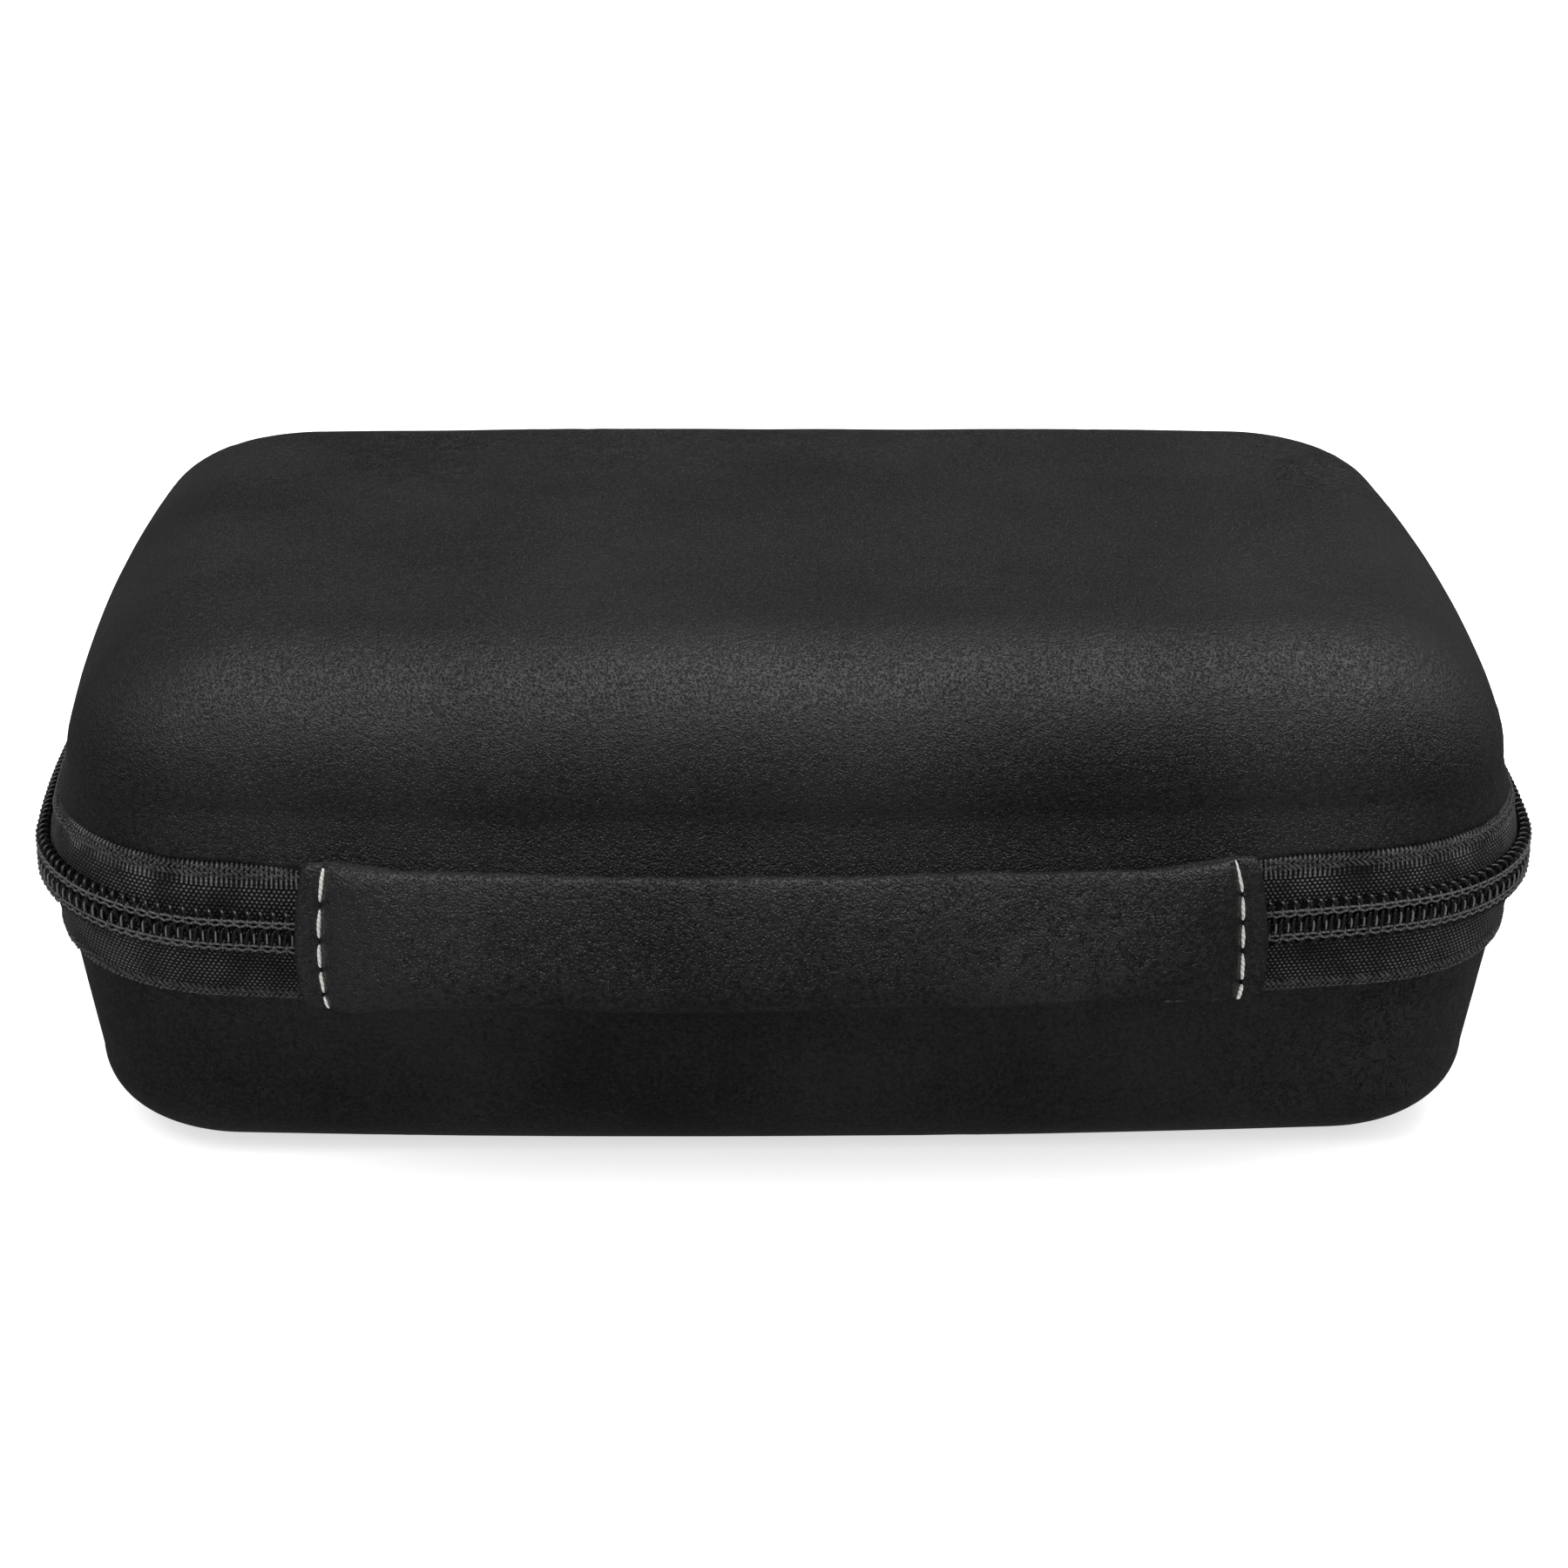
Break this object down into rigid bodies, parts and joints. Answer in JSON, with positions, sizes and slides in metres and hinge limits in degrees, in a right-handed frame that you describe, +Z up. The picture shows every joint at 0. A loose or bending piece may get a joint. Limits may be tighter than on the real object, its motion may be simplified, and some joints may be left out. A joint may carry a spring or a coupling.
{
  "type": "headphone carrying case",
  "caption": "Hard clamshell case in black synthetic leather with a coil zipper round three sides, a fabric hinge and a padded strap handle.",
  "frame": {"origin": "centre of the case's outline on the flat bottom of the base, where it rests", "axes": "+X to the right along the case's length, +Y from the handle at the front to the hinge at the back, +Z up through the lid"},
  "size_m": [0.2528, 0.162, 0.0885],
  "materials": {
    "shell_leather": "satin black grained synthetic leather",
    "handle_leather": "satin black grained synthetic leather, softer",
    "foam": "closed-cell foam, matt",
    "lining_fabric": "short-pile black lining",
    "binding_fabric": "woven black binding",
    "zipper_tape": "woven black zipper tape with a light selvedge",
    "zipper_coil": "black nylon coil",
    "hinge_fabric": "black woven hinge strip",
    "webbing": "black webbing",
    "zipper_metal": "black enamelled zinc",
    "white_thread": "off-white bonded thread"
  },
  "bodies": {
    "base": {"base_leather": "shell_leather", "base_shell": "foam", "base_lining": "lining_fabric", "base_binding": "binding_fabric", "base_zipper_tape": "zipper_tape", "base_zipper_coil": "zipper_coil", "base_hinge_strip": "hinge_fabric", "base_hinge_lining": "lining_fabric", "base_end_stop_left": "zipper_metal", "base_end_stop_right": "zipper_metal", "handle_anchor_left": "webbing", "handle_anchor_right": "webbing"},
    "lid": {"lid_leather": "shell_leather", "lid_shell": "foam", "lid_lining": "lining_fabric", "lid_binding": "binding_fabric", "lid_zipper_tape": "zipper_tape", "lid_zipper_coil": "zipper_coil", "lid_hinge_strip": "hinge_fabric", "lid_hinge_lining": "lining_fabric", "lid_end_stop_left": "zipper_metal", "lid_end_stop_right": "zipper_metal"},
    "slider_front": {"slider_front": "zipper_metal"},
    "pull_front": {"pull_front": "zipper_metal"},
    "slider_rear": {"slider_rear": "zipper_metal"},
    "pull_rear": {"pull_rear": "zipper_metal"},
    "handle": {"handle_cover": "handle_leather", "handle_padding": "foam", "handle_webbing": "webbing", "handle_stitches_left": "white_thread", "handle_stitches_right": "white_thread"}
  },
  "joints": [
    {"name": "lid_hinge", "type": "hinge", "parent": "base", "child": "lid", "pos_m": [0, 0.0766, 0.0463], "axis": [-1, 0, 0], "range_deg": [0, 180]},
    {"name": "slider_front_travel", "type": "hinge", "parent": "base", "child": "slider_front", "pos_m": [-0.3787, 0, 0.0463], "axis": [0, 0, -1], "range_deg": [0, 8.45]},
    {"name": "pull_front_swing", "type": "hinge", "parent": "slider_front", "child": "pull_front", "pos_m": [0.12597, 0.03729, 0.0463], "axis": [0, 0, 1], "range_deg": [0, 120]},
    {"name": "slider_rear_travel", "type": "hinge", "parent": "base", "child": "slider_rear", "pos_m": [0.08896, 0.04156, 0.0463], "axis": [0, 0, 1], "range_deg": [0, 29]},
    {"name": "pull_rear_swing", "type": "hinge", "parent": "slider_rear", "child": "pull_rear", "pos_m": [0.12436, 0.05282, 0.0463], "axis": [0, 0, -1], "range_deg": [0, 120]},
    {"name": "handle_bow", "type": "slide", "parent": "base", "child": "handle", "axis": [0, -1, 0], "range_m": [0, 0.018]}
  ]
}
